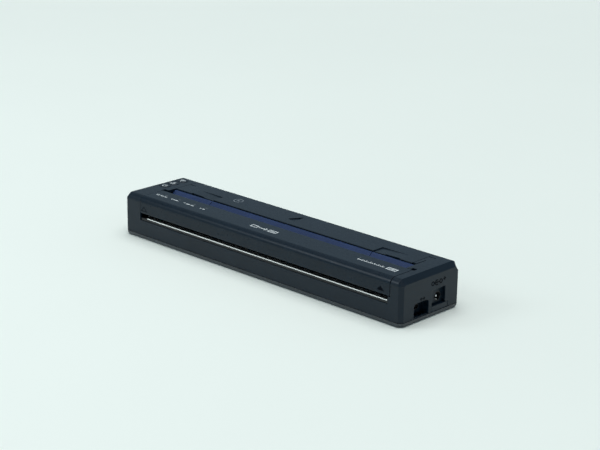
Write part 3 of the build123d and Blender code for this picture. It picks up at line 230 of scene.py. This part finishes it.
# ground steel, drawn along its length
f = Finish("ground_tear_steel", 0.28, metal=1.0)
f.mottled((0.95, 0.96, 0.97), 0.03, 6.0)
ground = f.noise(0.15, 2.0, 0.5, f.stretched(1.0, 0.05, 0.05))
f.rough(ground, 0.2, 0.34)
f.bump(ground, 0.003, 0.5)
made["tear_steel"] = f.done()

# black rubber of the platen, ground round, so it has fine rings
f = Finish("platen_rubber", 0.62, specular=0.4, sheen=0.08)
f.mottled((0.013, 0.013, 0.014), 0.2, 8.0)
rings = f.noise(0.1, 3.0, 0.6, f.stretched(1.0, 0.05, 0.05))
f.rough(rings, 0.55, 0.7)
f.bump(rings, 0.008, 0.6)
made["platen_rubber"] = f.done()

# feet: soft rubber with a pebbled face
f = Finish("foot_rubber", 0.8, specular=0.35, sheen=0.1)
f.mottled((0.011, 0.011, 0.012), 0.15, 3.0)
f.edges(0.3)
f.bump(f.cells(0.35), 0.05, 0.7)
made["foot_rubber"] = f.done()

# glazed ceramic of the print head, with a faint milky drift
f = Finish("head_glaze", 0.14, coat=0.6)
f.mottled((0.66, 0.64, 0.58), 0.06, 5.0)
f.rough(f.noise(2.0, 3.0), 0.1, 0.2)
f.bump(f.noise(3.0), 0.01, 0.4)
made["head_glaze"] = f.done()

# circuit board: solder mask over traces and a fine glass weave
f = Finish("solder_mask", 0.3, coat=0.35)
bricks = f.tree.nodes.new("ShaderNodeTexBrick")
bricks.inputs["Scale"].default_value = 420.0
bricks.inputs["Color1"].default_value = (0.012, 0.085, 0.03, 1)
bricks.inputs["Color2"].default_value = (0.016, 0.115, 0.04, 1)
bricks.inputs["Mortar"].default_value = (0.03, 0.19, 0.07, 1)
bricks.inputs["Mortar Size"].default_value = 0.07
f.link(f.place, bricks.inputs["Vector"])
patch = f.ramp(f.noise(6.0, 1.0), [(0.45, (0, 0, 0, 1)), (0.55, (1, 1, 1, 1))])
f.colour(f.mix(patch, bricks.outputs["Color"], (0.014, 0.1, 0.034, 1.0)))
f.rough(f.noise(0.5, 3.0), 0.24, 0.38)
f.bump(bricks.outputs["Fac"], 0.02, 0.5)
made["circuit_board"] = f.done()

# amber polyimide with parallel copper tracks under it
f = Finish("ribbon_film", 0.26, coat=0.3)
wave = f.tree.nodes.new("ShaderNodeTexWave")
wave.bands_direction = "X"
wave.inputs["Scale"].default_value = 330.0
wave.inputs["Distortion"].default_value = 0.0
f.link(f.place, wave.inputs["Vector"])
amber, copper = (0.42, 0.12, 0.012, 1), (0.62, 0.24, 0.03, 1)
f.colour(f.ramp(wave.outputs["Fac"], [(0.35, amber), (0.6, copper)]))
f.rough(f.noise(1.5, 3.0), 0.2, 0.34)
f.bump(wave.outputs["Fac"], 0.02, 0.4)
made["ribbon_film"] = f.done()

# heat-shrunk film round the cells, with soft wrinkles
f = Finish("shrink_film", 0.2, coat=0.5)
f.mottled((0.012, 0.05, 0.2), 0.1, 14.0)
f.rough(f.noise(3.0, 3.0), 0.15, 0.3)
f.bump(f.noise(4.0, 4.0, 0.6, f.stretched(0.4, 1.0, 1.0)), 0.12, 0.5)
made["battery_wrap"] = f.done()

# smoked lens of the indicator windows
f = Finish("smoked_lens", 0.2, coat=0.5)
f.mottled((0.018, 0.02, 0.022), 0.15, 1.5)
f.rough(f.noise(0.4, 3.0), 0.14, 0.28)
made["lens_plastic"] = f.done()

# printed ink: off-white, slightly uneven
f = Finish("pale_ink", 0.55, specular=0.3)
f.mottled(srgb(214, 220, 220), 0.05, 1.2)
f.bump(f.noise(0.12, 3.0), 0.006, 0.5)
pale_ink = f.done()


def mark_film(name, colour):
    f = Finish(name, 0.8, specular=0.03)
    f.mottled(colour, 0.08, 1.2)
    f.bump(f.noise(0.12, 3.0), 0.006, 0.5)
    return f.done()


# grey print for the rear cover's ring, and a dark matte film that is painted shade for the engraved
# and moulded marks
grey_ink = mark_film("grey_ink", srgb(126, 134, 140))
painted_shade_film = mark_film("painted_shade_film", srgb(14, 18, 25))

# nickel-plated contacts
bright_contact = metal("bright_contact", (0.95, 0.95, 0.95), 0.5, vary=0.03)

# plain brushed polyester plate in the panel recess underneath
plate_film = metal("brushed_plate_film", (0.5, 0.51, 0.52), 0.4, edge=0.05)

# each piece takes its slot's material, apart from three: the base, the bright pin, and the USB
# port's shell, whose dark grey is painted shade of its deep recess
for node in cad_nodes.values():
    slot_name = node.data.materials[0].name.split(".")[0]
    node.data.materials[0] = made[slot_name]
own_finishes = {
    # the base: glossy, in the charcoal made lighter as painted reflection of the floor
    "base_tray": moulded("glossy_base", charcoal_with_painted_light, 0.25, grain=0.6, depth=0.004, specular=0.8),
    # dark grey steel for the USB shell: painted shade of the recess it sits in
    "usb_port": metal("painted_shade_shell", (0.1, 0.1, 0.105), 0.45),
    "power_jack_pin": bright_contact,
}
for name, material in own_finishes.items():
    cad_nodes[name].data.materials[0] = material


# ---------------------------------------------------------------- flat marks, as thin raised pieces
def line(points, width, closed=False):
    """A line of that width through 2-D points, mitred at its corners: (points, faces)."""
    mitre_limit = 0.4
    n = len(points)
    out = []
    for i, p in enumerate(points):
        legs = []
        if closed or i:
            legs.append((points[i - 1], p))
        if closed or i < n - 1:
            legs.append((p, points[(i + 1) % n]))
        ways = [(Vector(b) - Vector(a)).normalized() for a, b in legs]
        sides = [Vector((-w.y, w.x)) for w in ways]
        side = sum(sides, Vector((0, 0))).normalized()
        side *= width / 2 / max(mitre_limit, side.dot(sides[0]))
        out += [Vector(p) + side, Vector(p) - side]
    count = n if closed else n - 1
    faces = []
    for i in range(count):
        a, b = 2 * i, 2 * ((i + 1) % n)
        faces.append((a, a + 1, b + 1, b))
    return out, faces


def area(points):
    """The filled outline through 2-D points: (points, faces)."""
    return [Vector(p) for p in points], [tuple(range(len(points)))]


def circle(x, y, radius, start=0, stop=360, steps=24):
    """Points round a circle, or along it from start to stop in degrees."""
    gaps = steps if stop - start >= 360 else steps - 1
    angles = [math.radians(start + (stop - start) * k / gaps) for k in range(steps)]
    return [(x + radius * math.cos(angle), y + radius * math.sin(angle)) for angle in angles]


def ring(x, y, radius, width):
    return line(circle(x, y, radius), width, closed=True)


def arc(x, y, radius, width, start, stop, steps):
    return line(circle(x, y, radius, start, stop, steps), width)


def box_line(x0, y0, x1, y1, width):
    return line([(x0, y0), (x1, y0), (x1, y1), (x0, y1)], width, closed=True)


def dash(x0, x1, y, height):
    """A bar with rounded ends."""
    r = height / 2
    return area(circle(x1 - r, y, r, -90, 90, 7) + circle(x0 + r, y, r, 90, 270, 7))


sunk = 0.02  # a raised piece starts this far below its surface


def raised(name, shapes, origin, u, v, height, material, body):
    """The shapes as one thin raised piece on the plane through origin, with axes u and v."""
    u, v = Vector(u), Vector(v)
    up = u.cross(v)
    base = Vector(origin) - up * sunk
    bm = bmesh.new()
    for points, faces in shapes:
        verts = [bm.verts.new((base + u * p.x + v * p.y) * MM) for p in points]
        for face in faces:
            bm.faces.new([verts[k] for k in face])
    pushed = bmesh.ops.extrude_face_region(bm, geom=bm.faces[:])
    moved = [g for g in pushed["geom"] if isinstance(g, bmesh.types.BMVert)]
    bmesh.ops.translate(bm, verts=moved, vec=up * (height + sunk) * MM)
    bmesh.ops.recalc_face_normals(bm, faces=bm.faces)
    data = bpy.data.meshes.new(name)
    bm.to_mesh(data)
    bm.free()
    data.materials.append(material)
    piece = bpy.data.objects.new(name, data)
    bpy.context.scene.collection.objects.link(piece)
    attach(piece, body)


mark_thickness = 0.04  # thickness of printed marks and of the front triangles' painted-shade film
bold = 0.8  # stroke of the larger marks
cover_low, cover_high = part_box("release_cover")


def on_release_cover(name, shapes):
    """Pale marks on the release cover's top, placed by the frame's x and y."""
    origin = (0, 0, cover_high.z / MM)
    raised(name, shapes, origin, X, Y, mark_thickness, pale_ink, "release_cover_body")


# beside each indicator: a pictogram and plain bars, all on one line
label_y = -15.5
bar = 1.0
battery_x, link_x, radio_x, warning_x = -107.0, -91.9, -79.6, -63.1
warning = [(0.1, -0.75), (1.7, -0.75), (0.9, 0.75)]
on_release_cover("indicator_marks", [
    box_line(battery_x + 0.2, label_y - 0.6, battery_x + 2.6, label_y + 0.6, 0.45),
    dash(battery_x + 3.8, battery_x + 7.2, label_y, bar),
    dash(battery_x + 7.8, battery_x + 10.5, label_y, bar),
    ring(link_x + 0.8, label_y, 0.62, 0.45),
    dash(link_x + 2.2, link_x + 6.8, label_y, bar),
    arc(radio_x + 0.9, label_y - 0.7, 0.6, 0.4, 40, 140, 8),
    arc(radio_x + 0.9, label_y - 0.7, 1.4, 0.4, 40, 140, 8),
    dash(radio_x + 2.8, radio_x + 6.4, label_y, bar),
    dash(radio_x + 7.0, radio_x + 10.5, label_y, bar),
    area([(warning_x + x, label_y + y) for x, y in warning]),
    dash(warning_x + 2.3, warning_x + 4.5, label_y, bar),
])

# in the middle: a sheet going in, an arrow, and a printed sheet
sheet_y = -16.0
on_release_cover("sheet_marks", [
    box_line(-12.2, sheet_y - 1.5, -7.0, sheet_y + 1.5, 0.75),
    line([(-5.6, sheet_y), (1.4, sheet_y)], 0.85),
    line([(-0.2, sheet_y - 1.6), (1.6, sheet_y), (-0.2, sheet_y + 1.6)], bold),
    box_line(3.6, sheet_y - 1.5, 10.6, sheet_y + 1.5, 0.75),
    dash(5.0, 9.2, sheet_y, bold),
])

# at the right: a short rule for the paper's width, and a sheet
width_y = -15.0
rule_y = width_y - 0.7
rule_ticks = [(81.25 + 1.65 * k, width_y + (1.0, 0.3)[k % 2]) for k in range(14)]
on_release_cover("width_marks", [
    line([(81.0, rule_y), (103.0, rule_y)], 0.5),
    *[line([(x, rule_y), (x, y)], 0.55) for x, y in rule_ticks],
    box_line(105.2, width_y - 1.4, 112.4, width_y + 1.6, bold),
    dash(106.4, 111.2, width_y + 0.1, bold),
])


def key_mark(key, shapes):
    """A pale mark on a key, placed from the middle of its top."""
    low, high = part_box(key)
    centre = ((low.x + high.x) / 2 / MM, (low.y + high.y) / 2 / MM, high.z / MM)
    raised(key + "_mark", shapes, centre, X, Y, mark_thickness, pale_ink, key + "_body")


key_mark("power_key", [arc(0, 0, 1.7, 0.5, 120, 420, 24), line([(0, 0.3), (0, 2.2)], 0.5)])
key_mark("feed_key", [
    box_line(-1.7, -1.9, 1.7, -0.5, 0.4),
    line([(0, -0.2), (0, 2.0)], 0.45),
    line([(-1.1, 1.0), (0, 2.1), (1.1, 1.0)], 0.45),
])
key_mark("wireless_key", [
    area(circle(0, -1.5, 0.45, steps=12)),
    *[arc(0, -1.5, r, 0.45, 45, 135, 10) for r in (1.5, 2.5, 3.5)],
])

# on the rear cover: a ring with a dot
low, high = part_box("rear_cover")
ring_x, ring_y = -56.8, 14.9
ring_shapes = [ring(ring_x, ring_y, 3.3, 0.55), area(circle(ring_x, ring_y, 0.9, steps=14))]
origin = (0, 0, high.z / MM)
raised("cover_mark", ring_shapes, origin, X, Y, mark_thickness, grey_ink, "rear_cover_body")

# on the front, small triangles that point at the paper guide's two ends, in a dark film that is
# painted shade of engraved triangles
front = cover_low.y / MM
arrow_foot = cover_low.z / MM + 2.2
front_arrows = (
    ("left", -107.3, line([(-2.8, 0), (2.8, 0), (0, 2.9)], 0.45, closed=True)),
    ("right", 110.6, area([(-3.1, 0), (3.1, 0), (0, 3.1)])),
)
for side, at, shape in front_arrows:
    name, origin = "front_arrow_" + side, (at, front, arrow_foot)
    raised(name, [shape], origin, X, Z, mark_thickness, painted_shade_film, "release_cover_body")

# marks on the right end: a two-way arrow over the data socket, and the power plug's polarity, in a
# dark film that is painted shade of moulded relief marks
end_face = (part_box("main_housing")[1].x / MM, 0, 0)
end_mark_thickness = 0.12
arrow_z, arrow_y0, arrow_y1 = 14.7, -9.4, -5.2
barb_y, barb_z = 1.0, (arrow_z - 0.9, arrow_z + 0.9)
stroke = 0.5
data_shapes = [
    line([(arrow_y0, arrow_z), (arrow_y1, arrow_z)], stroke),
    *[line([(y + way * barb_y, barb_z[0]), (y, arrow_z), (y + way * barb_y, barb_z[1])], stroke)
      for y, way in ((arrow_y0, 1), (arrow_y1, -1))],
]
raised("data_mark", data_shapes, end_face, Y, Z, end_mark_thickness, painted_shade_film, "chassis")
polarity_z, stroke = 22.0, 0.6
polarity_shapes = [
    ring(2.2, polarity_z, 1.2, stroke),
    line([(3.4, polarity_z), (4.4, polarity_z)], stroke),
    arc(6.0, polarity_z, 1.6, stroke, 50, 310, 16),
    area(circle(6.0, polarity_z, 0.7, steps=10)),
    line([(6.0, polarity_z), (8.8, polarity_z)], stroke),
    ring(10.0, polarity_z, 1.2, stroke),
    line([(13.6, polarity_z - 0.3), (13.6, polarity_z + 2.1)], stroke),
    line([(12.4, polarity_z + 0.9), (14.8, polarity_z + 0.9)], stroke),
]
raised("power_mark", polarity_shapes, end_face, Y, Z, end_mark_thickness, painted_shade_film, "chassis")

# bright contact spring at the bottom of the power socket's bore
low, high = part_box("power_jack_pin")
length, half, drop, thick = 5.0, 0.5, 2.45, 0.3
origin = (high.x / MM - length, (low.y + high.y) / 2 / MM, (low.z + high.z) / 2 / MM - drop)
spring = [area([(0, -half), (length, -half), (length, half), (0, half)])]
raised("power_jack_contact", spring, origin, X, Y, thick, bright_contact, "chassis")

# blank plate in the recess underneath
panel_recess, corner_round, film = 0.25, 1.0, 0.1
x0, x1, y0, y1 = -30.8, 38.0, 5.9, 17.3
plate = []
for x, y, start in ((x1, y1, 0), (x0, y1, 90), (x0, y0, 180), (x1, y0, 270)):
    plate += circle(x, y, corner_round, start, start + 90, 5)
origin = (0, 0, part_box("base_tray")[0].z / MM + panel_recess)
raised("blank_plate", [area(plate)], origin, X, DOWN_Y, film, plate_film, "chassis")

# ---------------------------------------------------------------- tear bar's teeth
low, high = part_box("tear_bar")
end_margin = 0.3
x0, x1 = low.x / MM + end_margin, high.x / MM - end_margin
front = low.y / MM
pitch = 1.1
root, tip = front + 0.6, front - 0.35
teeth = []
for k in range(int((x1 - x0) / pitch)):
    x = x0 + k * pitch
    middle, after = x + pitch / 2, x + pitch
    teeth.append(area([(x, root), (x, front), (middle, tip), (after, front), (after, root)]))
drop, thick = 0.02, 0.03
origin = (0, 0, high.z / MM - drop)
raised("tear_bar_teeth", teeth, origin, X, Y, thick, made["tear_steel"], "chassis")

# ---------------------------------------------------------------- floor, light and camera
f = Finish("pale_floor", 0.9, specular=0.15)
f.mottled((0.885, 0.935, 0.872), 0.006, 400.0)
reach = 9.0  # metres
corners = [(-reach, -reach, 0), (reach, -reach, 0), (reach, reach, 0), (-reach, reach, 0)]
data = bpy.data.meshes.new("floor")
data.from_pydata(corners, [], [(0, 1, 2, 3)])
data.materials.append(f.done())
floor = bpy.data.objects.new("floor", data)
bpy.context.scene.collection.objects.link(floor)

# the room: bluish low down, darker walls, and a broad soft light overhead
world = bpy.data.worlds.new("studio")
bpy.context.scene.world = world
world.use_nodes = True
tree = world.node_tree
background = tree.nodes["Background"]
background.inputs["Strength"].default_value = 2.75
way = tree.nodes.new("ShaderNodeTexCoord")
apart = tree.nodes.new("ShaderNodeSeparateXYZ")
room = tree.nodes.new("ShaderNodeValToRGB")
below, low_wall = (0.111, 0.14, 0.16, 1.0), (0.098, 0.127, 0.148, 1.0)
wall, overhead = (0.072, 0.087, 0.094, 1.0), (0.96, 0.98, 1.0, 1.0)
fill_ramp(room, [(0.0, below), (0.35, low_wall), (0.6, wall), (0.845, wall), (0.89, overhead)])
tree.links.new(way.outputs["Generated"], apart.inputs["Vector"])
tree.links.new(apart.outputs["Z"], room.inputs["Fac"])
tree.links.new(room.outputs["Color"], background.inputs["Color"])

# one soft light at the front left, in metres and watts
place, target = Vector((-0.68, -0.85, 0.75)), Vector((0.1, 0, 0))
data = bpy.data.lights.new("front_left_light", "AREA")
data.shape = "RECTANGLE"
data.size, data.size_y = 0.4, 0.45
data.energy = 2.9
data.color = (0.86, 0.95, 1.0)
light = bpy.data.objects.new("front_left_light", data)
light.location = place
light.rotation_mode = "QUATERNION"
light.rotation_quaternion = (target - place).to_track_quat("-Z", "Y")
bpy.context.scene.collection.objects.link(light)

# the photo's camera: focal length in pixels of a picture 600 wide, clip distances in metres
picture_width, focal_length, sensor_width = 600, 1651, 36.0
azimuth, elevation, roll = math.radians(43.61), math.radians(18.26), math.radians(0.78)
target, distance = Vector((16.29, 0, 34.00)) * MM, 1080 * MM
flat = math.cos(elevation)
back = Vector((math.sin(azimuth) * flat, -math.cos(azimuth) * flat, math.sin(elevation)))
level_right = Vector((math.cos(azimuth), math.sin(azimuth), 0))
level_up = back.cross(level_right)
right = math.cos(roll) * level_right + math.sin(roll) * level_up
up = math.cos(roll) * level_up - math.sin(roll) * level_right
turn = Matrix((right, up, back)).transposed().to_4x4()
data = bpy.data.cameras.new("camera")
data.sensor_width = sensor_width
data.lens = sensor_width * focal_length / picture_width
data.clip_start, data.clip_end = 0.05, 50.0
camera = bpy.data.objects.new("camera", data)
camera.matrix_world = Matrix.Translation(target + back * distance) @ turn
bpy.context.scene.collection.objects.link(camera)
bpy.context.scene.camera = camera

bpy.context.scene.view_settings.view_transform = "Standard"
